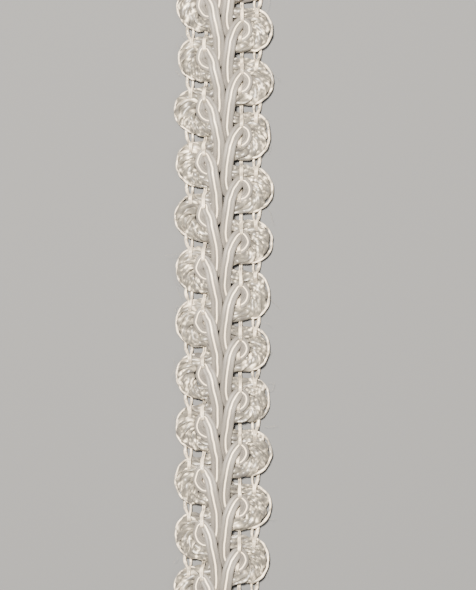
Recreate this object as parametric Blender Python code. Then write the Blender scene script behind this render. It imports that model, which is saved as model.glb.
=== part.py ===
"""A cut length of gimp braid trim, lying flat.

X runs across the trim, Y along it (the hooks open towards +Y's far end, so the cords run down to -Y), Z is up.
Two smooth satin cords loop down the middle, two loose scallop yarns swing out round their hooks, and four fine
chains hold them. Every yarn follows a short table for one repeat, laid end to end along its side of the trim.
"""

import math

import bmesh
import bpy
from mathutils import Matrix, Vector

MM = 0.001

# Driving dimensions, in millimetres.
PITCH = 6.86          # one scallop and the gap beside it
SCALLOPS = 12         # whole scallops on the left side; the right side starts and ends half way through one
RIGHT_LAG = 0.465     # how much further down the right side's gaps lie, in repeats
CORD_WIDTH = 1.40
CORD_THICKNESS = 0.75
RIB_WIDTH = 0.28
RIB_RISE = 0.055
CHAIN_THICKNESS = 0.30
CHAIN_GROOVE = 0.09
PLY_DEPTH = 0.20      # how deep the twist is cut into the scallop yarn, as a share of its size
BULGE_FROM = 3.2      # scallops differ in size only outside this distance from the middle
BULGE_TO = 6.3

# One repeat of a satin cord, from the top of its hook down the limb, under the next limb and round the next hook.
# across: mm from the middle of the trim. along: mm below the gap above the hook. height: mm, middle of the cord.
# rib: how far the rib lies off the cord's middle, mm, towards the outside of the bend.
SATIN_CORD = (
    # across, along, height, rib
    (2.41, 2.33, 1.30, 0.26),
    (2.02, 2.64, 1.42, 0.22),
    (1.66, 3.19, 1.56, 0.16),
    (1.30, 3.89, 1.78, 0.14),
    (1.02, 4.67, 1.92, 0.14),
    (0.82, 5.51, 1.95, 0.14),
    (0.71, 6.48, 1.90, 0.14),
    (0.60, 7.45, 1.75, 0.14),
    (0.51, 8.42, 1.52, 0.14),
    (0.47, 9.33, 1.27, 0.14),
    (0.51, 10.17, 1.05, 0.16),
    (0.74, 10.96, 0.88, 0.22),
    (1.33, 11.40, 0.88, 0.26),
    (2.10, 11.42, 0.88, 0.26),
    (2.72, 11.06, 0.94, 0.26),
    (3.07, 10.41, 1.02, 0.26),
    (3.05, 9.71, 1.14, 0.26),
)

# One repeat of a scallop yarn, from the turn hidden under the cord, over the hook, round the scallop and back.
# The gap edge is the one away from the hook, the hook edge the one beside it; top is the yarn's highest point.
SCALLOP_YARN = (
    # gap edge: across, along; hook edge: across, along; top
    (1.23, 0.00, 0.26, 0.00, 0.80),
    (1.36, 0.36, 0.52, 1.00, 0.85),
    (1.94, 0.47, 1.72, 1.31, 1.00),
    (2.72, 0.45, 2.46, 1.34, 1.12),
    (3.63, 0.51, 3.11, 1.52, 1.20),
    (4.67, 0.80, 3.66, 1.95, 1.25),
    (5.64, 1.49, 3.94, 2.50, 1.28),
    (6.16, 2.40, 4.08, 2.94, 1.30),
    (6.31, 3.42, 4.12, 3.42, 1.30),
    (6.13, 4.32, 4.06, 3.89, 1.30),
    (5.68, 5.15, 3.88, 4.36, 1.28),
    (4.86, 5.86, 3.59, 4.88, 1.25),
    (3.76, 6.30, 3.11, 5.30, 1.20),
    (2.72, 6.39, 2.46, 5.54, 1.12),
    (1.94, 6.39, 1.72, 5.57, 1.00),
    (1.36, 6.50, 0.52, 5.86, 0.85),
)

# One repeat of each chain: it dips in the gap and rides over the yarns between.
INNER_CHAIN = (
    # across, along, height, width
    (2.35, 0.00, 0.92, 0.74),
    (2.35, 0.91, 1.66, 0.50),
    (2.35, 1.81, 2.08, 0.46),
    (2.35, 2.72, 2.22, 0.46),
    (2.35, 3.76, 2.10, 0.50),
    (2.35, 4.67, 1.86, 0.62),
    (2.35, 5.86, 1.64, 0.50),
)
OUTER_CHAIN = (
    # across, along, height, width
    (4.40, 0.00, 0.90, 0.90),
    (4.40, 1.10, 1.66, 0.72),
    (4.40, 2.20, 1.80, 0.50),
    (4.40, 3.42, 1.78, 0.46),
    (4.40, 4.67, 1.80, 0.72),
    (4.40, 5.80, 1.62, 0.60),
)

# How uneven the trim is, mm: how far each gap slips down from even spacing, and how far its scallop bulges.
LEFT_WANDER = (
    # slip, bulge
    (0.00, 0.00), (0.30, -0.18), (-0.11, 0.32), (0.04, 0.04), (-0.06, 0.17), (0.00, -0.04), (-0.14, 0.00),
    (0.08, -0.13), (-0.08, -0.08), (-0.22, -0.01), (0.02, -0.12), (0.17, 0.00), (0.00, 0.00),
)
RIGHT_WANDER = (
    # slip, bulge
    (0.00, 0.00), (0.06, 0.01), (-0.16, 0.14), (-0.13, -0.25), (0.01, 0.18), (0.10, 0.16), (-0.14, -0.14),
    (0.27, -0.23), (-0.03, -0.10), (-0.16, 0.20), (0.01, 0.13), (-0.01, -0.13), (0.20, 0.00), (0.00, 0.00),
)

SIDES = {
    # name: (sign of X, first gap's place in repeats, wander)
    "left": (-1, 0.0, LEFT_WANDER),
    "right": (1, RIGHT_LAG - 1.0, RIGHT_WANDER),
}


def ease(value, low, high):
    """Rises smoothly from 0 at low to 1 at high."""
    share = min(1.0, max(0.0, (value - low) / (high - low)))
    return share * share * (3.0 - 2.0 * share)


def place(side, across, along, height):
    """Puts a point of the even pattern on one side of the real, slightly uneven trim."""
    sign, first_gap, wander = SIDES[side]
    repeats = along / PITCH - first_gap
    gap = min(len(wander) - 2, max(0, math.floor(repeats)))
    share = min(1.0, max(0.0, repeats - gap))
    slip = wander[gap][0] * (1.0 - share) + wander[gap + 1][0] * share
    bulge = wander[gap][1] * math.sin(math.pi * share) * ease(across, BULGE_FROM, BULGE_TO)
    middle = SCALLOPS * PITCH / 2
    return Vector((sign * (across + bulge), middle - along - slip, height)) * MM


def repeat_rows(table, side, columns, start, stop):
    """Lays one repeat's table end to end, from start to stop in repeats, and yields its rows in order.

    columns names which columns run along the trim, and so move down with each repeat.
    """
    first_gap = SIDES[side][1]
    rows = []
    for repeat in range(-3, SCALLOPS + 3):
        for row in table:
            moved = list(row)
            for column in columns:
                moved[column] += (repeat + first_gap) * PITCH
            rows.append(moved)
    low, high = start * PITCH, stop * PITCH
    keep = [index for index, row in enumerate(rows) if low <= row[columns[0]] <= high]
    return rows[keep[0]:keep[-1] + 1]


def sweep(name, rings, material):
    """Extrudes a capped solid through rings of points, a ring at a time."""
    mesh = bmesh.new()
    first = cap = mesh.faces.new([mesh.verts.new(point) for point in rings[0]])
    for ring in rings[1:]:
        made = bmesh.ops.extrude_face_region(mesh, geom=[cap])["geom"]
        if cap is not first:
            bmesh.ops.delete(mesh, geom=[cap], context="FACES_ONLY")
        cap = next(item for item in made if isinstance(item, bmesh.types.BMFace))
        for vertex, point in zip(cap.verts, ring):
            vertex.co = point
    bmesh.ops.recalc_face_normals(mesh, faces=mesh.faces)
    data = bpy.data.meshes.new(name)
    mesh.to_mesh(data)
    mesh.free()
    data.shade_smooth()
    data.set_sharp_from_angle(angle=math.radians(38))
    data.materials.append(material)
    solid = bpy.data.objects.new(name, data)
    bpy.context.collection.objects.link(solid)
    return solid


def directions(points):
    """The level direction across the path at each point, to its right when looking along it."""
    result = []
    for index in range(len(points)):
        before, after = points[max(0, index - 1)], points[min(len(points) - 1, index + 1)]
        run = (after - before).to_2d().normalized()
        result.append(Vector((run.y, -run.x, 0.0)))
    return result


def satin_section(rib):
    """The cord's outline across its path: a flat oval with a narrow raised rib, as (side, up) in mm."""
    half, thick = CORD_WIDTH / 2, CORD_THICKNESS / 2
    return (
        (-0.58 * half, -thick), (0.58 * half, -thick), (half, -0.05 * thick), (0.66 * half, 0.74 * thick),
        (rib + RIB_WIDTH / 2, thick + RIB_RISE), (rib - RIB_WIDTH / 2, thick + RIB_RISE),
        (-0.66 * half, 0.74 * thick), (-half, -0.05 * thick),
    )


def satin_cord(side, start, stop, material):
    """One satin cord, its rib on the outside of each bend."""
    rows = repeat_rows(SATIN_CORD, side, (1,), start, stop)
    points = [place(side, *row[:3]) for row in rows]
    outwards = SIDES[side][0]
    rings = []
    for point, across, row in zip(points, directions(points), rows):
        rings.append([point + (across * side_way + Vector((0, 0, up))) * MM
                      for side_way, up in satin_section(outwards * row[3])])
    return sweep(f"satin_cord_{side}", rings, material)


def yarn_section(turn):
    """The yarn's outline, (edge to edge 0 to 1, height 0 to 1): flat below, with plies that wind round above."""
    outline = ((0.19, 0.0), (0.81, 0.0), (1.0, 0.38), (0.9, 0.8), (0.65, 1.0), (0.35, 1.0), (0.1, 0.8), (0.0, 0.38))
    section = list(outline[:2])
    for index, (share, height) in enumerate(outline[2:]):
        cut = 0.0 if (index + turn) % 3 == 0 else PLY_DEPTH
        section.append((0.5 + (share - 0.5) * (1.0 - cut), 0.4 + (height - 0.4) * (1.0 - cut)))
    return section


def scallop_yarn(side, start, stop, material):
    """One scallop yarn, resting flat on its underside."""
    rows = repeat_rows(SCALLOP_YARN, side, (1, 3), start, stop)
    rings = []
    for turn, (gap_x, gap_y, hook_x, hook_y, top) in enumerate(rows):
        gap_edge = place(side, gap_x, gap_y, 0.0)
        hook_edge = place(side, hook_x, hook_y, 0.0)
        rings.append([gap_edge.lerp(hook_edge, share) + Vector((0, 0, height * top * MM))
                      for share, height in yarn_section(turn)])
    return sweep(f"scallop_yarn_{side}", rings, material)


def chain(name, table, side, start, stop, material):
    """One chain, as a flat pair of threads with the groove between them."""
    rows = repeat_rows(table, side, (1,), start, stop)
    thick = CHAIN_THICKNESS / 2
    outline = ((-1, -thick), (1, -thick), (1, thick), (0, thick - CHAIN_GROOVE), (-1, thick))
    rings = []
    for across, along, height, width in rows:
        point = place(side, across, along, height)
        rings.append([point + Vector((edge * width / 2, 0.0, up)) * MM for edge, up in outline])
    return sweep(f"{name}_{side}", rings, material)


def yarn_material(name, colour, roughness):
    """A plain finish in the yarn's own colour."""
    material = bpy.data.materials.new(name)
    material.use_nodes = True
    shader = material.node_tree.nodes["Principled BSDF"]
    shader.inputs["Base Color"].default_value = (*colour, 1.0)
    shader.inputs["Roughness"].default_value = roughness
    shader.inputs["Metallic"].default_value = 0.0
    return material


def centre_on_origin(solids):
    """Moves every mesh so that the whole trim is centred on the origin across and along."""
    points = [vertex.co for solid in solids for vertex in solid.data.vertices]
    middle = [(min(point[axis] for point in points) + max(point[axis] for point in points)) / 2 for axis in (0, 1)]
    for solid in solids:
        solid.data.transform(Matrix.Translation((-middle[0], -middle[1], 0.0)))


def build():
    for old in list(bpy.data.objects):
        bpy.data.objects.remove(old, do_unlink=True)
    satin = yarn_material("satin_cord", (0.62, 0.59, 0.54), 0.32)
    loose = yarn_material("scallop_yarn", (0.70, 0.67, 0.60), 0.45)
    thread = yarn_material("chain_thread", (0.78, 0.74, 0.67), 0.5)
    solids = []
    for side in SIDES:
        solids.append(satin_cord(side, 0.0, SCALLOPS, satin))
        solids.append(scallop_yarn(side, 0.0, SCALLOPS, loose))
        solids.append(chain("chain_inner", INNER_CHAIN, side, 0.0, SCALLOPS, thread))
        solids.append(chain("chain_outer", OUTER_CHAIN, side, 0.0, SCALLOPS, thread))
    centre_on_origin(solids)


build()
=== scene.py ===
# %% [markdown]
# Gimp braid trim, seen from straight above
#
# Gimp braid is a narrow furnishing trim that is glued or stitched over tacks and seams. This one is
# made of three kinds of off-white rayon yarn: smooth satin cords that loop down the middle, loose
# shiny yarns that swing out into scallops, and fine chains of thread that hold everything in place.
# A flat strip with a bump texture would look right only from far away, so here every yarn is a
# real, swept piece of geometry.

# %% Load the frame and keep its box
import math
import random

import bmesh
import bpy
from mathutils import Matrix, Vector, noise


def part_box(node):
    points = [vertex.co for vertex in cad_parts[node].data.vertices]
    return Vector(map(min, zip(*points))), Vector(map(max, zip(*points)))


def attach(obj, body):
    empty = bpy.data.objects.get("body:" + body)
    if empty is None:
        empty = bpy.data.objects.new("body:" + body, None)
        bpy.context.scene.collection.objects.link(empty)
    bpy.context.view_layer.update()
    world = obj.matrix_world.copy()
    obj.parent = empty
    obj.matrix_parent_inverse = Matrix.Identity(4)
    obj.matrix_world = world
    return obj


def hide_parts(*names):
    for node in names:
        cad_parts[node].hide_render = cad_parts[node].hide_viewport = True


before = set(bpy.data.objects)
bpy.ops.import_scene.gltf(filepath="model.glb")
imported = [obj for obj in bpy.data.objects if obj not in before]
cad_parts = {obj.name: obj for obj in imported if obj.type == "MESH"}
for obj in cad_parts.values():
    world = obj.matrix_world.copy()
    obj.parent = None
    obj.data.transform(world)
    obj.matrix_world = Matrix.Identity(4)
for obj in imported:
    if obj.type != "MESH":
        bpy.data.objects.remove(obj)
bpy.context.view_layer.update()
print("frame nodes:", ", ".join(sorted(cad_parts)))

# %% [markdown]
# The pattern's sizes
#
# A braiding machine repeats itself, so the trim is described by one repeat on one side. Every table
# below gives places in millimetres: "across" is the distance from the middle of the trim, and
# "along" is the distance below the gap above the scallop. The right side is the same pattern
# mirrored, a little less than half a repeat lower. No trim is perfectly even, so two short tables,
# with a row for each gap, say how far the gap slips, how much the scallop below it bulges, how far
# out the cord beside it sways, and how much further out the hook below it reaches.

# %% Sizes of the repeat and of its unevenness
MM = 0.001
PITCH = 6.86
SCALLOPS = 12
RIGHT_LAG = 0.465
BULGE_FROM = 3.2
BULGE_TO = 6.3

LEFT_WANDER = (
    # slip, bulge, sway, hook
    (0.00, 0.00, 0.00, 0.00),
    (0.30, -0.18, 0.00, -0.02),
    (-0.11, 0.32, -0.06, -0.05),
    (0.04, 0.04, -0.16, 0.04),
    (-0.06, 0.17, 0.20, -0.18),
    (0.00, -0.04, 0.10, 0.10),
    (-0.14, 0.00, 0.12, 0.13),
    (0.08, -0.13, 0.02, -0.23),
    (-0.08, -0.08, -0.08, -0.07),
    (-0.22, -0.01, -0.05, 0.09),
    (0.02, -0.12, -0.02, 0.06),
    (0.17, 0.00, 0.02, 0.00),
    (0.00, 0.00, 0.00, 0.00),
)
RIGHT_WANDER = (
    # slip, bulge, sway, hook
    (0.00, 0.00, 0.00, 0.00),
    (0.06, 0.01, 0.00, 0.07),
    (-0.16, 0.14, 0.05, 0.10),
    (-0.13, -0.25, 0.14, 0.08),
    (0.01, 0.18, -0.02, 0.18),
    (0.10, 0.16, 0.01, -0.04),
    (-0.14, -0.14, -0.08, -0.01),
    (0.27, -0.23, -0.10, -0.11),
    (-0.03, -0.10, 0.07, -0.06),
    (-0.16, 0.20, 0.16, -0.10),
    (0.01, 0.13, -0.06, 0.01),
    (-0.01, -0.13, -0.03, -0.09),
    (0.20, 0.00, 0.00, 0.00),
    (0.00, 0.00, 0.00, 0.00),
)
SIDES = {
    # name: (sign of X, first gap's place in repeats, wander)
    "left": (-1, 0.0, LEFT_WANDER),
    "right": (1, RIGHT_LAG - 1.0, RIGHT_WANDER),
}


def middle_of(low_node, high_node, axis):
    """The middle, along one axis, between the outer faces of two nodes of the frame."""
    return (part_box(low_node)[0][axis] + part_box(high_node)[1][axis]) / 2


PATTERN_MIDDLE = Vector((
    middle_of("chain_inner_left", "chain_inner_right", 0),
    middle_of("chain_outer_left", "chain_outer_left", 1),
    0.0,
))
print("pattern middle, mm:", [round(value / MM, 3) for value in PATTERN_MIDDLE])

# %% [markdown]
# From the even pattern to the real trim
#
# Each table row is a point of the perfect pattern. One function moves it to its side of the trim,
# adds the slip of the gaps above and below it, and lets the outer part of a scallop bulge. Because
# every yarn goes through the same function, neighbours stay neighbours. A second helper lays the
# repeat end to end, and a third draws a smooth curve (a Catmull-Rom curve) through the rows, so
# that the tables can stay short.

# %% Placing and smoothing the rows


def ease(value, low, high):
    """Rises smoothly from 0 at low to 1 at high."""
    share = min(1.0, max(0.0, (value - low) / (high - low)))
    return share * share * (3.0 - 2.0 * share)


def gaps_around(side, along):
    """The wander rows of the gaps above and below a place, and how far down between them it is."""
    first_gap, wander = SIDES[side][1:]
    repeats = along / PITCH - first_gap
    gap = min(len(wander) - 2, max(0, math.floor(repeats)))
    return wander[gap], wander[gap + 1], min(1.0, max(0.0, repeats - gap))


def place(side, across, along, height):
    """Puts a point of the even pattern, in mm, on one side of the real trim, in metres."""
    sign = SIDES[side][0]
    above, below, share = gaps_around(side, along)
    slip = above[0] * (1.0 - share) + below[0] * share
    bulge = above[1] * math.sin(math.pi * share) * ease(across, BULGE_FROM, BULGE_TO)
    middle = SCALLOPS * PITCH / 2
    return PATTERN_MIDDLE + Vector((sign * (across + bulge), middle - along - slip, height)) * MM


def lay_repeats(table, side, along_columns=(1,), start=0.0, stop=SCALLOPS):
    """Lays one repeat's rows end to end, cut off at start and stop, which are counted in repeats."""
    first_gap = SIDES[side][1]
    rows = []
    for repeat in range(-3, SCALLOPS + 3):
        for row in table:
            moved = list(row)
            for column in along_columns:
                moved[column] += (repeat + first_gap) * PITCH
            rows.append(moved)
    low, high = start * PITCH, stop * PITCH
    keep = [index for index, row in enumerate(rows) if low <= row[along_columns[0]] <= high]
    return rows[keep[0]:keep[-1] + 1]


def smooth(rows, steps):
    """A Catmull-Rom curve through the rows, with so many steps from each row to the next."""
    result = []
    for index in range(len(rows) - 1):
        before, a, b = rows[max(0, index - 1)], rows[index], rows[index + 1]
        after = rows[min(len(rows) - 1, index + 2)]
        for step in range(steps):
            t = step / steps
            result.append([
                q + 0.5 * t * (r - p + t * (2 * p - 5 * q + 4 * r - s + t * (3 * q - p - 3 * r + s)))
                for p, q, r, s in zip(before, a, b, after)
            ])
    result.append(list(rows[-1]))
    return result


def waver(seed, place_mm, wavelength):
    """A smooth random value from -1 to 1 that changes over about one wavelength, the same each run."""
    return noise.noise(Vector((place_mm / wavelength, seed * 7.31, seed * 1.93)))


# %% [markdown]
# Sweeping a yarn
#
# Blender's curve objects are made for this: each strand is a spline, and a bevel gives it a
# thickness. A round bevel is enough for threads. The satin cord gets a drawn profile. Each curve
# becomes a mesh straight away, which also gives it a UV map whose first direction runs along the
# yarn. The end caps are welded on, and the normals are turned outwards.

# %% Helpers that turn strands into a mesh piece
TABLE_CLEARANCE = 0.01
WELD_REACH = 0.0005
SHARP_FROM = math.radians(60)


def add_spline(curve, points, radii, tilts=None):
    """One open strand through the points, with its own radius factor and turn about itself at each."""
    spline = curve.splines.new("POLY")
    spline.points.add(len(points) - 1)
    for slot, point, radius, tilt in zip(spline.points, points, radii, tilts or [0.0] * len(points)):
        slot.co = (*point, 1.0)
        slot.radius = radius
        slot.tilt = tilt


def new_curve(name, profile=None):
    """A curve object's data, swept with a closed profile of (side, up) points in mm, or else round."""
    curve = bpy.data.curves.new(name, "CURVE")
    curve.dimensions = "3D"
    curve.twist_mode = "Z_UP"
    curve.use_fill_caps = True
    if profile:
        flat = bpy.data.curves.new(name + "_profile", "CURVE")
        flat.dimensions = "2D"
        outline = flat.splines.new("POLY")
        outline.points.add(len(profile) - 1)
        for slot, (side_way, up) in zip(outline.points, profile):
            slot.co = (side_way * MM, up * MM, 0.0, 1.0)
        outline.use_cyclic_u = True
        curve.bevel_mode = "OBJECT"
        curve.bevel_object = bpy.data.objects.new(name + "_profile", flat)
    return curve


def sides_of(points):
    """At each point of a strand: its direction, the way to its right, and its own up."""
    ways = []
    for index in range(len(points)):
        ahead = (points[min(len(points) - 1, index + 1)] - points[max(0, index - 1)]).normalized()
        right = ahead.cross(Vector((0.0, 0.0, 1.0))).normalized()
        ways.append((ahead, right, right.cross(ahead)))
    return ways


def finish_piece(name, curve, material, node=None):
    """Turns a curve into a mesh piece that rides on the trim and can stand for a node of the frame."""
    holder = bpy.data.objects.new(name + "_curve", curve)
    bpy.context.collection.objects.link(holder)
    mesh = bpy.data.meshes.new_from_object(holder.evaluated_get(bpy.context.evaluated_depsgraph_get()))
    bpy.data.objects.remove(holder)
    if curve.bevel_object:
        bpy.data.objects.remove(curve.bevel_object)
    shape = bmesh.new()
    shape.from_mesh(mesh)
    # What would sink into the table is pressed flat against it.
    for vert in shape.verts:
        vert.co.z = max(vert.co.z, TABLE_CLEARANCE * MM)
    bmesh.ops.remove_doubles(shape, verts=shape.verts, dist=WELD_REACH * MM)
    bmesh.ops.recalc_face_normals(shape, faces=shape.faces)
    shape.to_mesh(mesh)
    shape.free()
    mesh.name = name
    mesh.shade_smooth()
    mesh.set_sharp_from_angle(angle=SHARP_FROM)
    mesh.materials.clear()
    mesh.materials.append(material)
    piece = bpy.data.objects.new(name, mesh)
    bpy.context.collection.objects.link(piece)
    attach(piece, "root")
    if node:
        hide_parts(node)
    print(f"{name}: {len(mesh.polygons)} faces")
    return piece


# %% [markdown]
# Node materials
#
# All three yarns are rayon, a bright, glassy fibre. What changes is how the filaments lie: dead
# straight and tight in the satin cord, loose and wavy in the scallop yarn, hard-twisted in the
# chain thread. Colours are written as sRGB hex values, as a colour picker shows them, and turned to
# linear light for the shader.

# %% Colour and node helpers


def hex_colour(code, alpha=1.0):
    """An sRGB hex value as linear red, green, blue and alpha."""
    channels = [int(code[index:index + 2], 16) / 255 for index in (1, 3, 5)]
    linear = [value / 12.92 if value <= 0.04045 else ((value + 0.055) / 1.055) ** 2.4
              for value in channels]
    return (*linear, alpha)


def add_node(tree, kind, values=None, links=None, **settings):
    """Adds one node with its settings, socket values and incoming links."""
    node = tree.nodes.new(kind)
    for name, value in settings.items():
        setattr(node, name, value)
    for socket, value in (values or {}).items():
        node.inputs[socket].default_value = value
    for socket, source in (links or {}).items():
        tree.links.new(source, node.inputs[socket])
    return node


def blend_colours(tree, factor, stops):
    """A colour ramp through (place, hex) stops."""
    node = add_node(tree, "ShaderNodeValToRGB", links={"Fac": factor})
    ramp = node.color_ramp.elements
    for element, (position, code) in zip(ramp, (stops[0], stops[-1])):
        element.position = position
        element.color = hex_colour(code)
    for position, code in stops[1:-1]:
        ramp.new(position).color = hex_colour(code)
    return node.outputs["Color"]


# %% [markdown]
# Rayon finishes
#
# Straight filaments reflect light in a streak across themselves, which is what makes satin look
# like satin. The shader gets that from anisotropy, turned a quarter turn from the UV direction
# along the yarn. A little subsurface scattering stands for the light that soaks through white yarn
# and softens its shadows. Single filaments are about 0.02 mm thick, far too fine for this picture,
# so the fine streaks are drawn several times wider, as bundles of filaments. Beside the cords the
# loose yarn is painted darker, as painted shade.

# %% The satin cord, loose yarn and chain thread finishes
FILAMENT_BUNDLE = 0.07
ROUGHNESS_SPREAD = 0.08
# Painted shade beside the cords: full nearer the middle than the first distance, gone past the second,
# mm.
PAINTED_SHADE_FROM = 2.0
PAINTED_SHADE_TO = 3.6


def rayon(name, stops, patch_mm, streak_share, roughness, length_mm, girth_mm, streak_height,
          gleam=0.75, painted_shade_depth=0.0):
    """Off-white rayon: patches and streaks along each strand from its UV map, and an anisotropic shine.

    The last argument says how much darker the yarn is painted beside the cords, as painted shade.
    """
    material = bpy.data.materials.new(name)
    material.use_nodes = True
    tree = material.node_tree
    shader = tree.nodes["Principled BSDF"]
    where = add_node(tree, "ShaderNodeTexCoord")
    # Patches are longer than wide. The object coordinates are mixed in so that no two strands match.
    lengths = add_node(tree, "ShaderNodeMapping",
                       {"Scale": (length_mm / (patch_mm * 1.4), girth_mm / patch_mm, 1.0)},
                       {"Vector": where.outputs["UV"]})
    places = add_node(tree, "ShaderNodeMapping", {"Scale": [0.5 / (patch_mm * MM)] * 3},
                      {"Vector": where.outputs["Object"]})
    spread = add_node(tree, "ShaderNodeVectorMath", operation="ADD")
    tree.links.new(lengths.outputs["Vector"], spread.inputs[0])
    tree.links.new(places.outputs["Vector"], spread.inputs[1])
    patches = add_node(tree, "ShaderNodeTexNoise", {"Scale": 1.0, "Detail": 1.0},
                       {"Vector": spread.outputs["Vector"]})
    along = add_node(tree, "ShaderNodeMapping",
                     {"Scale": (length_mm / (FILAMENT_BUNDLE * 25), girth_mm / FILAMENT_BUNDLE, 1.0)},
                     {"Vector": where.outputs["UV"]})
    streaks = add_node(tree, "ShaderNodeTexNoise", {"Scale": 1.0, "Detail": 1.0, "Roughness": 0.5},
                       {"Vector": along.outputs["Vector"]})
    mixed = add_node(tree, "ShaderNodeMix", {"Factor": streak_share},
                     {"A": patches.outputs["Fac"], "B": streaks.outputs["Fac"]}, data_type="FLOAT")
    # Painted shade: nearer the middle, beside the cords, the colour is pushed towards the darker stops.
    across = add_node(tree, "ShaderNodeSeparateXYZ", links={"Vector": where.outputs["Object"]})
    outwards = add_node(tree, "ShaderNodeMath", links={0: across.outputs["X"]}, operation="ABSOLUTE")
    painted_shade_beside_cords = add_node(tree, "ShaderNodeMapRange",
                     {"From Min": PAINTED_SHADE_FROM * MM, "From Max": PAINTED_SHADE_TO * MM,
                      "To Min": -painted_shade_depth, "To Max": 0.0},
                     {"Value": outwards.outputs["Value"]})
    shade = add_node(tree, "ShaderNodeMath",
                     links={0: mixed.outputs["Result"], 1: painted_shade_beside_cords.outputs["Result"]}, operation="ADD")
    tree.links.new(blend_colours(tree, shade.outputs["Value"], stops), shader.inputs["Base Color"])
    rough = add_node(tree, "ShaderNodeMapRange",
                     {"To Min": roughness - ROUGHNESS_SPREAD, "To Max": roughness + ROUGHNESS_SPREAD},
                     {"Value": streaks.outputs["Fac"]})
    tree.links.new(rough.outputs["Result"], shader.inputs["Roughness"])
    bump = add_node(tree, "ShaderNodeBump", {"Strength": 1.0, "Distance": streak_height * MM},
                    {"Height": streaks.outputs["Fac"]})
    tree.links.new(bump.outputs["Normal"], shader.inputs["Normal"])
    tangent = add_node(tree, "ShaderNodeTangent", direction_type="UV_MAP", uv_map="UVMap")
    tree.links.new(tangent.outputs["Tangent"], shader.inputs["Tangent"])
    shader.inputs["Anisotropic"].default_value = gleam
    shader.inputs["Anisotropic Rotation"].default_value = 0.25
    shader.inputs["IOR"].default_value = 1.52
    shader.inputs["Sheen Weight"].default_value = 0.1
    shader.inputs["Sheen Roughness"].default_value = 0.5
    shader.inputs["Subsurface Weight"].default_value = 0.06
    shader.inputs["Subsurface Radius"].default_value = (1.0, 0.9, 0.8)
    shader.inputs["Subsurface Scale"].default_value = 0.1 * MM
    return material


# Laid straight and tight over its core: smooth and slightly cool. Its body is painted much darker than
# its rib, as painted shade, so body and rib are shaded and lit copies of one rayon.
satin_rayon = rayon("rayon_satin_cord", ((0.3, "#5c5a58"), (0.7, "#77736d")), 1.4, 0.5, 0.52,
                    170.0, 4.0, 0.004)
# The raised thread of the cord: the same rayon, painted near white as a painted highlight, so it is the
# brightest line on the trim.
rib_painted_highlight = rayon("rayon_raised_rib_painted_highlight", ((0.3, "#f8e6cd"), (0.7, "#fff4e0")), 1.4, 0.3, 0.25,
                  170.0, 1.0, 0.002)
# Hardly twisted: random patches of its own tone from dark to mid, near-white patches along the plies
# that are painted highlights, and painted shade beside the cords.
LOOSE_TONES_AND_PAINTED_HIGHLIGHTS = ((0.32, "#53514f"), (0.5, "#6b6860"), (0.58, "#989185"), (0.69, "#fbf0dc"))
loose_rayon = rayon("rayon_loose_yarn", LOOSE_TONES_AND_PAINTED_HIGHLIGHTS, 0.72, 0.12, 0.34,
                    250.0, 2.2, 0.005, gleam=0.6, painted_shade_depth=0.06)
# Fine and hard-twisted, so it is even and a little brighter.
thread_rayon = rayon("rayon_chain_thread", ((0.35, "#7e786d"), (0.62, "#eee1cc")), 0.8, 0.2, 0.26,
                     90.0, 0.9, 0.003)
# A single ply laid straight along the edge: bright, with duller lengths where it dips.
rim_strand_rayon = rayon("rayon_rim_strand", ((0.38, "#7a756c"), (0.55, "#eee1cd")), 0.7, 0.15, 0.28,
                         12.0, 1.0, 0.003)

# %% [markdown]
# The satin cords
#
# Each side has one unbroken cord. It starts as a small hook at the top of a scallop, runs down
# towards the middle, dives under the next limb and comes up again inside the next hook. Seen from
# above, limbs of both sides lie close together, each new one over the older one, which is what
# makes the plaited middle. A round tube would look like a cable, so the cord is swept with its own
# profile: a flat oval with fine laid lines and a furrow along its middle. The rib is a separate
# thread that lies in the furrow. Round the hook it is thinner and runs nearer to the cord's outer
# edge, and a chain presses it down where it crosses the hook's top. The wander tables give every
# limb and hook a place of its own, a little further in or out than the last.

# %% Route and profile of the satin cords
CORD_WIDTH = 1.50
CORD_THICKNESS = 0.72
THREAD_SPACING = 0.22
THREAD_RELIEF = 0.035
RIB_RADIUS = 0.12
RIB_FURROW = 0.16
FURROW_FLOOR = 0.18
FURROW_EDGE = 0.36
RIB_STRAY = 0.06
HOOK_PINCH = 0.16
DIVE_SPREAD = 0.2

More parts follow.
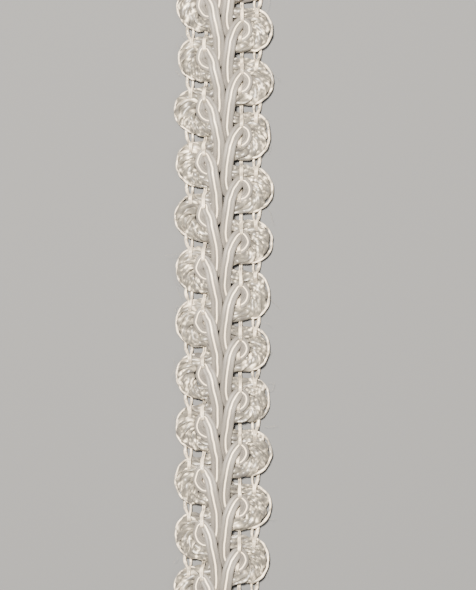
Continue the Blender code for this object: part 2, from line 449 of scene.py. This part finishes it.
CORD_ROUTE = {
    # across, along and height of the rib's place; how much the rib is thinned and sunk, from 0
    # to 1.6 where a chain presses it down; how far the cord's middle lies inside the rib
    "right": (
        (2.25, 2.24, 1.32, 1.5, 0.10),
        (1.92, 2.46, 1.41, 0.5, 0.04),
        (1.56, 2.95, 1.53, 0.0, 0.00),
        (1.24, 3.50, 1.63, 0.0, 0.00),
        (0.98, 4.15, 1.74, 0.0, 0.00),
        (0.77, 4.80, 1.81, 0.0, 0.00),
        (0.66, 5.55, 1.84, 0.0, 0.00),
        (0.52, 6.40, 1.82, 0.0, 0.00),
        (0.39, 7.40, 1.73, 0.0, 0.00),
        (0.28, 8.45, 1.59, 0.0, 0.00),
        (0.28, 9.30, 1.42, 0.0, 0.00),
        (0.41, 10.05, 1.16, 0.0, 0.00),
        (0.72, 10.80, 0.96, 0.3, 0.06),
        (1.24, 11.36, 0.90, 1.0, 0.15),
        (1.92, 11.54, 0.96, 1.0, 0.20),
        (2.54, 11.34, 1.04, 0.7, 0.20),
        (2.97, 10.85, 1.12, 0.5, 0.20),
        (3.14, 10.25, 1.20, 0.5, 0.20),
        (2.98, 9.66, 1.25, 0.6, 0.18),
        (2.62, 9.26, 1.29, 0.9, 0.14),
    ),
    "left": (
        (2.64, 1.82, 1.32, 1.6, 0.14),
        (2.27, 2.08, 1.38, 0.9, 0.08),
        (2.02, 2.60, 1.48, 0.3, 0.02),
        (1.74, 3.12, 1.58, 0.0, 0.00),
        (1.58, 3.60, 1.66, 0.0, 0.00),
        (1.46, 4.10, 1.74, 0.0, 0.00),
        (1.37, 4.75, 1.81, 0.0, 0.00),
        (1.20, 5.50, 1.84, 0.0, 0.00),
        (1.01, 6.40, 1.82, 0.0, 0.00),
        (0.80, 7.35, 1.73, 0.0, 0.00),
        (0.76, 8.40, 1.59, 0.0, 0.00),
        (0.72, 9.30, 1.42, 0.0, 0.00),
        (0.78, 10.10, 1.16, 0.0, 0.00),
        (1.04, 10.80, 0.96, 0.3, 0.06),
        (1.56, 11.34, 0.90, 1.0, 0.15),
        (2.24, 11.50, 0.96, 1.0, 0.24),
        (2.82, 11.24, 1.04, 0.8, 0.26),
        (3.23, 10.74, 1.12, 0.8, 0.26),
        (3.42, 10.22, 1.20, 0.8, 0.26),
        (3.32, 9.62, 1.25, 0.8, 0.24),
        (3.06, 9.00, 1.30, 1.0, 0.20),
    ),
}


def cord_profile():
    """The cord's outline, (side, up) in mm: a flat oval with laid threads and a furrow."""
    half, thick = CORD_WIDTH / 2, CORD_THICKNESS / 2
    outline = []
    for step in range(48):
        angle = math.pi * step / 47
        side_way = -half * math.cos(angle)
        from_rib = abs(side_way)
        ridge = THREAD_RELIEF * (abs(math.sin(math.pi * from_rib / THREAD_SPACING)) - 1.0)
        bed = RIB_FURROW * (1.0 - ease(from_rib, FURROW_FLOOR, FURROW_EDGE))
        crown = max(0.0, math.sin(angle))
        outline.append((side_way, thick * crown ** 0.7 + (ridge - bed) * crown))
    for step in range(1, 8):
        angle = math.pi * step / 8
        outline.append((half * math.cos(angle), -thick * math.sin(angle) ** 0.8))
    return outline


def cord_width_at(row, side):
    """The cord is pinched narrow round its hook, and pressed wide where it dives under a limb."""
    along = (row[1] / PITCH - SIDES[side][1]) % 1.0
    pinched = ease(row[0], 1.6, 2.5)
    pressed = (1.0 - ease(abs(along - 0.50), 0.0, 0.12)) * (1.0 - ease(row[0], 0.5, 1.2))
    return 1.0 - HOOK_PINCH * pinched + DIVE_SPREAD * pressed * ease(1.6 - row[2], 0.0, 0.3)


def sway_of(side, across, along):
    """How much further out one limb or hook lies than the even pattern has it."""
    above, below, share = gaps_around(side, along)
    in_hook = ease(across, 1.9, 2.6)
    return (above[2] * (1.0 - share) + below[2] * share) * (1.0 - in_hook) + above[3] * in_hook


def satin_cord(side):
    """One side's cord, and the rib in its furrow."""
    curve = new_curve(f"satin_cord_{side}_fine", cord_profile())
    rows = smooth(lay_repeats(CORD_ROUTE[side], side), 5)
    for row in rows:
        row[0] += sway_of(side, row[0], row[1])
    points = [place(side, *row[:3]) for row in rows]
    ways = sides_of(points)
    inwards = -SIDES[side][0] * MM
    body = [point + right * inwards * row[4]
            for point, (ahead, right, up), row in zip(points, ways, rows)]
    add_spline(curve, body, [cord_width_at(row, side) for row in rows])
    finish_piece(f"satin_cord_{side}_fine", curve, satin_rayon, f"satin_cord_{side}")
    curve = new_curve(f"satin_rib_{side}")
    curve.bevel_depth = RIB_RADIUS * MM
    curve.bevel_resolution = 2
    ridge = []
    radii = []
    for index, (point, row, (ahead, right, up)) in enumerate(zip(points, rows, ways)):
        stray = right * RIB_STRAY * waver(6, index * 0.2, 1.2)
        crown = CORD_THICKNESS / 2 - 0.01 - 0.05 * row[3] - 0.4 * row[4] ** 2
        ridge.append(point + (stray + up * crown) * MM)
        radii.append(1.0 - 0.3 * row[3] + 0.15 * waver(5, index * 0.2, 2.0))
    add_spline(curve, ridge, radii)
    # The rib's near-white colour is a painted highlight.
    finish_piece(f"satin_rib_{side}", curve, rib_painted_highlight, None)


for side in SIDES:
    satin_cord(side)

# %% [markdown]
# The scallop yarns
#
# A scallop yarn is a loose rope of five soft plies. It swings out round the hook, comes back under
# the cord and turns into the next scallop. It is squeezed narrow where it turns and swells in the
# open, and it twists most where it swells. A smooth body with a rope texture would lack the broken
# highlights, so each ply is a strand that winds round the yarn's centre line and turns about
# itself. The plies wander in and out a little and change in thickness, which leaves the small
# shadowed gaps that a real loose yarn has. One flat strand inside stands for the core.

# %% Route of the scallop yarns and the plies that wind along it
PLIES = 5
PLY_WIDTH = 0.84
PLY_THICKNESS = 0.56
PLY_TURN = 6.0
PLY_WANDER = 0.10
PLY_SWELL = 0.4
TWIST_STRAY = 0.7
ROOM_FOR_PLIES = 1.7
CORE_WIDTH = 0.8
CORE_HEIGHT = 0.6
YARN_FIT = {
    # side: how much further out the gap edge of the inner half lies, that of the turn, and the
    # hook edge, and how far the outer edge stays inside the rim strand
    "left": (0.40, 0.55, 0.10, -0.10),
    "right": (0.00, 0.00, -0.12, 0.20),
}

YARN_ROUTE = (
    # gap edge: across, along; hook edge: across, along; top; twist in radians for each mm
    (1.23, -0.12, 0.02, -0.05, 1.70, 0.3),
    (1.36, 0.20, 0.02, 1.15, 1.70, 0.3),
    (1.94, 0.28, 0.85, 2.10, 1.78, 0.3),
    (2.72, 0.27, 1.90, 2.45, 1.62, 0.4),
    (3.63, 0.38, 2.75, 2.42, 1.50, 0.8),
    (4.67, 0.74, 3.18, 2.54, 1.50, 1.0),
    (5.54, 1.47, 3.36, 2.80, 1.50, 1.1),
    (6.02, 2.40, 3.44, 3.08, 1.50, 1.1),
    (6.16, 3.42, 3.46, 3.42, 1.50, 1.1),
    (5.99, 4.34, 3.42, 3.74, 1.50, 1.1),
    (5.56, 5.19, 3.28, 4.04, 1.50, 1.1),
    (4.80, 5.90, 3.04, 4.34, 1.50, 1.0),
    (3.76, 6.46, 2.70, 4.55, 1.50, 0.8),
    (2.72, 6.58, 2.16, 4.70, 1.62, 0.4),
    (1.94, 6.58, 1.30, 4.90, 1.78, 0.3),
    (1.36, 6.66, 0.20, 5.66, 1.70, 0.3),
)


def yarn_frames(side, steps):
    """Along the yarn: middle, way to its gap edge, half width and height, twist so far, mm run."""
    rows = smooth(lay_repeats(YARN_ROUTE, side, (1, 3)), steps)
    frames = []
    run = twist = 0.0
    last = None
    for gap_x, gap_y, hook_x, hook_y, top, rate in rows:
        inner_reach, turn_reach, hook_reach, rim_room = YARN_FIT[side]
        gap_x += (inner_reach * (1.0 - ease(gap_x, 3.6, 5.6))
                  + turn_reach * (1.0 - ease(gap_x, 1.3, 2.0))
                  - rim_room * ease(gap_x, 5.0, 6.0))
        hook_x += hook_reach * ease(hook_x, 0.0, 1.2)
        gap_edge = place(side, gap_x, gap_y, 0.0)
        hook_edge = place(side, hook_x, hook_y, 0.0)
        middle = (gap_edge + hook_edge) / 2
        middle.z = top / 2 * MM
        if last is not None:
            step = (middle - last).length / MM
            run += step
            twist -= rate * step
        last = middle
        way = (gap_edge - hook_edge).normalized()
        half_width = (gap_edge - hook_edge).length / 2 / MM
        frames.append((middle, way, half_width, top / 2, twist, run))
    return frames


def wind_ply(frames, seed, turn):
    """The points, thickness and own turning of one flat ply that winds round the yarn."""
    points, radii, outward = [], [], []
    for middle, way, half_width, half_height, twist, run in frames:
        angle = turn + twist + TWIST_STRAY * waver(seed + 40, run, 2.0)
        flatness = (half_width - half_height) / (half_width + half_height)
        angle += flatness / 2 * math.sin(2 * angle)
        inset = PLY_THICKNESS / 2 + 0.03 + PLY_WANDER * (1.0 + 1.5 * waver(seed + 80, run, 0.9))
        out = (half_width - inset) * math.cos(angle)
        up = (half_height - inset) * math.sin(angle)
        points.append(middle + (way * out + Vector((0.0, 0.0, up))) * MM)
        outward.append((way * math.cos(angle) / half_width
                        + Vector((0.0, 0.0, math.sin(angle))) / half_height).normalized())
        crowd = min(1.0, (half_width + half_height) / ROOM_FOR_PLIES)
        radii.append(crowd * (1.0 + PLY_SWELL * waver(seed, run, 1.1)))
    tilts = []
    travelled = 0.0
    for index, (ahead, right, up) in enumerate(sides_of(points)):
        if index:
            travelled += (points[index] - points[index - 1]).length / MM
        facing = math.atan2(outward[index].dot(right), outward[index].dot(up))
        own = math.pi * travelled / PLY_TURN + 1.0 * waver(seed + 120, travelled, 1.8)
        tilts.append(facing + own)
    return points, radii, tilts


def flat_ply():
    """A flat oval, as wide and as thick as one ply."""
    angles = [math.pi * step / 4 for step in range(8)]
    return [(PLY_WIDTH / 2 * math.cos(angle), PLY_THICKNESS / 2 * math.sin(angle)) for angle in angles]


def scallop_yarn(side):
    """One side's plies, and the flat strand inside them."""
    curve = new_curve(f"scallop_yarn_{side}_plies", flat_ply())
    frames = yarn_frames(side, 5)
    for ply in range(PLIES):
        seed = ply + 1 + (20 if side == "left" else 0)
        add_spline(curve, *wind_ply(frames, seed, 2 * math.pi * ply / PLIES))
    points, radii = [], []
    for middle, way, half_width, half_height, twist, run in frames[::2]:
        points.append(middle)
        radii.append(min(half_width * CORE_WIDTH / (PLY_WIDTH / 2),
                         half_height * CORE_HEIGHT / (PLY_THICKNESS / 2)))
    add_spline(curve, points, radii)
    return finish_piece(curve.name, curve, loose_rayon, f"scallop_yarn_{side}")


for side in SIDES:
    scallop_yarn(side)

# %% [markdown]
# The rim strands
#
# One ply of each scallop slips to the outside and lies there by itself like a piping, clear and
# bright on the right side and mostly sunk between the others on the left. It is a short strand for
# each scallop, tucked in at both ends, and no two lie at the same height.

# %% A rim strand round every scallop
RIM_STRAY = 0.12
RIM_WAVE = 0.25
RIM_SWELL = 0.4
RIM_FIT = {
    # side: radius, how much further in it lies, how high it lies on average, how much that differs
    "left": (0.12, 0.06, -0.15, 0.25),
    "right": (0.15, 0.12, -0.04, 0.25),
}
RIM_ROUTE = (
    # across, along, height
    (3.20, 1.10, 0.75),
    (3.90, 0.62, 0.95),
    (4.70, 0.78, 0.98),
    (5.58, 1.46, 0.95),
    (6.06, 2.40, 0.90),
    (6.20, 3.42, 0.90),
    (6.03, 4.36, 0.90),
    (5.57, 5.20, 0.95),
    (4.78, 5.88, 0.95),
    (3.95, 6.20, 0.88),
    (3.30, 5.70, 0.70),
)


def rim_strands(side):
    """A short strand round each of one side's scallops, all in one piece."""
    radius, inward, lift, spread = RIM_FIT[side]
    curve = new_curve(f"rim_strand_{side}")
    curve.bevel_depth = radius * MM
    curve.bevel_resolution = 2
    first_gap = SIDES[side][1]
    for scallop in range(SCALLOPS + 1):
        rows = smooth([(across, along + (scallop + first_gap) * PITCH, height)
                       for across, along, height in RIM_ROUTE], 5)
        rows = [row for row in rows if 0.0 <= row[1] <= SCALLOPS * PITCH]
        if len(rows) < 6:
            continue
        own_lift = lift + spread * 1.5 * waver(31, scallop * 3.7, 1.0)
        points, radii = [], []
        for step, (across, along, height) in enumerate(rows):
            run = step * 0.2
            stray = RIM_STRAY * waver(scallop + 1, run, 0.9)
            wave = RIM_WAVE * waver(scallop + 17, run, 0.8)
            points.append(place(side, across - inward + stray, along, height + own_lift + wave))
            radii.append(1.0 + RIM_SWELL * waver(scallop + 9, run, 0.7))
        add_spline(curve, points, radii)
    return finish_piece(curve.name, curve, rim_strand_rayon, None)


for side in SIDES:
    rim_strands(side)

# %% [markdown]
# The chains
#
# Four chains of crochet stitches run down the trim and hold the yarns. A chain is a thread that
# loops through itself, so each stitch shows as two legs that open and close again. Over the top of
# a scallop the legs lie together as a bright bar, and an inner chain's bar reaches down onto the
# top of the hook. Elsewhere the legs dive under the plies, and in each gap between scallops those
# of the outer chains stand open round a small dark eye. On the right side an inner chain shows once
# more where it holds the end of the hook, so each side has its own table. A third leg runs along
# the back.

# %% Legs of the outer and inner chains
THREAD_RADIUS = 0.15
THREAD_STRAY = 0.05
INNER_LEG_LIMIT = 0.95
OUTER_LEGS = {
    # across, along, height, how far apart the legs are, how thick the outer leg is
    "left": (
        (4.45, 0.00, 0.60, 0.72, 1.35),
        (4.40, 0.38, 1.00, 0.54, 1.30),
        (4.35, 0.75, 1.50, 0.26, 1.20),
        (4.33, 1.15, 1.64, 0.17, 1.15),
        (4.33, 1.50, 1.56, 0.16, 1.10),
        (4.35, 1.85, 1.15, 0.20, 1.00),
        (4.40, 2.60, 0.60, 0.30, 1.00),
        (4.43, 3.40, 0.45, 0.30, 1.00),
        (4.45, 4.30, 0.45, 0.30, 1.00),
        (4.48, 5.20, 0.55, 0.50, 1.05),
        (4.49, 5.90, 0.50, 0.74, 1.25),
        (4.49, 6.45, 0.55, 0.78, 1.40),
    ),
    "right": (
        (4.18, 0.00, 0.60, 0.72, 1.35),
        (4.13, 0.38, 1.00, 0.54, 1.30),
        (4.13, 0.75, 1.50, 0.26, 1.20),
        (4.12, 1.15, 1.64, 0.17, 1.15),
        (4.12, 1.50, 1.56, 0.16, 1.10),
        (4.14, 1.85, 1.15, 0.20, 1.00),
        (4.20, 2.60, 0.60, 0.30, 1.00),
        (4.22, 3.40, 0.45, 0.30, 1.00),
        (4.24, 4.30, 0.45, 0.30, 1.00),
        (4.28, 5.20, 0.55, 0.50, 1.05),
        (4.28, 5.90, 0.50, 0.74, 1.25),
        (4.22, 6.45, 0.55, 0.78, 1.40),
    ),
}
INNER_LEGS = {
    # across, along, height, how far apart the legs are, how thick the outer leg is
    "left": (
        (2.42, 0.00, 0.65, 0.24, 0.60),
        (2.50, 0.36, 1.05, 0.24, 0.80),
        (2.63, 0.75, 1.52, 0.18, 1.15),
        (2.66, 1.15, 1.68, 0.17, 1.25),
        (2.66, 1.55, 1.80, 0.17, 1.25),
        (2.64, 1.95, 1.90, 0.17, 1.20),
        (2.62, 2.20, 1.84, 0.16, 1.10),
        (2.60, 2.50, 1.20, 0.20, 1.00),
        (2.56, 3.00, 0.60, 0.30, 1.00),
        (2.50, 4.60, 0.60, 0.30, 1.00),
        (2.46, 5.60, 0.75, 0.30, 0.85),
        (2.43, 6.10, 0.72, 0.30, 0.70),
        (2.42, 6.50, 0.58, 0.24, 0.60),
    ),
    "right": (
        (2.20, 0.00, 0.65, 0.24, 0.60),
        (2.20, 0.36, 1.05, 0.24, 0.80),
        (2.21, 0.75, 1.46, 0.17, 1.05),
        (2.22, 1.15, 1.66, 0.16, 1.15),
        (2.23, 1.55, 1.80, 0.16, 1.20),
        (2.24, 1.95, 1.88, 0.16, 1.15),
        (2.24, 2.22, 1.80, 0.16, 1.05),
        (2.22, 2.50, 1.15, 0.20, 1.00),
        (2.14, 3.00, 0.60, 0.30, 1.00),
        (2.06, 3.55, 0.85, 0.30, 1.10),
        (2.00, 3.95, 1.20, 0.20, 1.10),
        (1.96, 4.30, 1.64, 0.15, 1.15),
        (1.96, 4.60, 1.62, 0.15, 1.10),
        (2.02, 4.95, 1.10, 0.20, 1.00),
        (2.12, 5.60, 0.85, 0.30, 0.85),
        (2.17, 6.10, 0.72, 0.30, 0.70),
        (2.20, 6.50, 0.58, 0.24, 0.60),
    ),
}


def chain(kind, side, table, back_place):
    """A chain's two legs and its back leg, between them at 0 and under the outer leg at 1."""
    curve = new_curve(f"{kind}_{side}_stitches")
    curve.bevel_depth = THREAD_RADIUS * MM
    curve.bevel_resolution = 1
    rows = smooth(lay_repeats(table, side), 4)
    for leg in (-0.5, 0.5):
        points, radii = [], []
        for across, along, height, apart, thick in rows:
            seed = 3 + leg + len(kind)
            stray = THREAD_STRAY * waver(seed, along, 0.9)
            lift = THREAD_STRAY * waver(seed + 5, along, 1.0)
            points.append(place(side, across + leg * apart + stray, along, height + lift))
            own_thick = thick if leg > 0 else min(INNER_LEG_LIMIT, thick)
            radii.append(own_thick * (1.0 + 0.15 * waver(seed + 8, along, 0.7)))
        add_spline(curve, points, radii)
    back = [place(side, across + back_place * apart / 2, along, THREAD_RADIUS + 0.02)
            for across, along, height, apart, thick in rows[::2]]
    add_spline(curve, back, [1.0] * len(back))
    return finish_piece(curve.name, curve, thread_rayon, f"{kind}_{side}")


for side in SIDES:
    chain("chain_outer", side, OUTER_LEGS[side], 0.7)
    chain("chain_inner", side, INNER_LEGS[side], 0.0)

# %% [markdown]
# Stray fibres
#
# Loose rayon sheds. A few hair-fine fibres stick out past the scallops.

# %% Fuzz along the edges
FUZZ = 34
FUZZ_RADIUS = 0.010


def stray_fibres():
    """Single hair-fine filaments that bend away from the scallops' edges."""
    luck = random.Random(11)
    curve = new_curve("stray_fibres")
    curve.bevel_depth = FUZZ_RADIUS * MM
    curve.bevel_resolution = 0
    for _ in range(FUZZ):
        side = luck.choice(("left", "right"))
        along = luck.uniform(0.3, SCALLOPS - 0.3) * PITCH
        heading = Vector((luck.uniform(0.3, 1.0), luck.uniform(-1.0, 1.0), luck.uniform(-0.1, 0.3)))
        heading.normalize()
        bend = Vector((luck.uniform(-2.0, 0.5), luck.uniform(-3.0, 3.0), luck.uniform(-0.2, 0.2)))
        length = luck.uniform(0.8, 2.4)
        start = Vector((luck.uniform(5.0, 5.9), along, luck.uniform(0.7, 1.2)))
        points = []
        for step in range(9):
            reach = length * step / 8
            point = start + heading * reach + bend * reach * reach * 0.15
            points.append(place(side, point.x, point.y, max(0.05, point.z)))
        add_spline(curve, points, [1.0] * len(points))
    return finish_piece("stray_fibres", curve, loose_rayon, None)


stray_fibres()

# %% [markdown]
# Table, light and camera
#
# The trim lies on a plain pale surface. A small lamp, nearly overhead, gives the crest of every
# strand a bright line, and a weak wide one and a dim room fill the shadows. A large lamp alone
# would make rayon look like plaster. The lamps are a little warm, which gives the shine its cream
# colour. The camera looks straight down through a long lens, as the catalogue picture does, framed
# so that both ends run out of the picture.

# %% The surface
FLOOR_SIZE = 1.2


def plain_surface():
    """The board that the trim lies on."""
    shape = bmesh.new()
    bmesh.ops.create_grid(shape, x_segments=1, y_segments=1, size=FLOOR_SIZE / 2)
    mesh = bpy.data.meshes.new("plain_surface")
    shape.to_mesh(mesh)
    shape.free()
    material = bpy.data.materials.new("matt_pale_board")
    material.use_nodes = True
    shader = material.node_tree.nodes["Principled BSDF"]
    shader.inputs["Base Color"].default_value = hex_colour("#5f6266")
    shader.inputs["Roughness"].default_value = 0.85
    mesh.materials.append(material)
    surface = bpy.data.objects.new("plain_surface", mesh)
    bpy.context.collection.objects.link(surface)
    return surface


plain_surface()

# %% Lamps


def soft_lamp(name, place_at, size, power, colour):
    """A square lamp that points at the trim's middle."""
    lamp = bpy.data.lights.new(name, "AREA")
    lamp.color = colour
    lamp.size = size
    lamp.energy = power
    holder = bpy.data.objects.new(name, lamp)
    holder.location = place_at
    holder.rotation_euler = (-Vector(place_at)).to_track_quat("-Z", "Y").to_euler()
    bpy.context.collection.objects.link(holder)


soft_lamp("key_lamp", (-0.07, 0.12, 0.50), 0.08, 14.5, (1.0, 0.9, 0.77))
soft_lamp("fill_lamp", (0.30, -0.10, 0.40), 0.30, 0.80, (1.0, 0.94, 0.86))
world = bpy.data.worlds.new("soft_room")
world.use_nodes = True
world.node_tree.nodes["Background"].inputs["Color"].default_value = (0.95, 0.97, 1.0, 1.0)
world.node_tree.nodes["Background"].inputs["Strength"].default_value = 0.18
bpy.context.scene.world = world

# %% Camera
PHOTO_WIDTH, PHOTO_HEIGHT = 476, 590
MM_PER_PIXEL = 0.1296
TRIM_MIDDLE_PIXEL = (223.5, 296.85)
TRIM_LEAN = math.radians(0.29)
LENS = 200.0

camera = bpy.data.cameras.new("camera")
camera.lens = LENS
camera.sensor_width = 36.0
camera.clip_start = 0.01
camera.clip_end = 5.0
seen_height = PHOTO_HEIGHT * MM_PER_PIXEL * MM
distance = seen_height / 2 / (camera.sensor_width / 2 / LENS)
holder = bpy.data.objects.new("camera", camera)
offset = Vector(((PHOTO_WIDTH / 2 - TRIM_MIDDLE_PIXEL[0]) * MM_PER_PIXEL * MM,
                 (TRIM_MIDDLE_PIXEL[1] - PHOTO_HEIGHT / 2) * MM_PER_PIXEL * MM, 0.0))
holder.location = PATTERN_MIDDLE + offset + Vector((0.0, 0.0, distance + 1.2 * MM))
holder.rotation_euler = (0.0, 0.0, TRIM_LEAN)
bpy.context.collection.objects.link(holder)
bpy.context.scene.camera = holder
print("camera distance, mm:", round(distance / MM, 1))
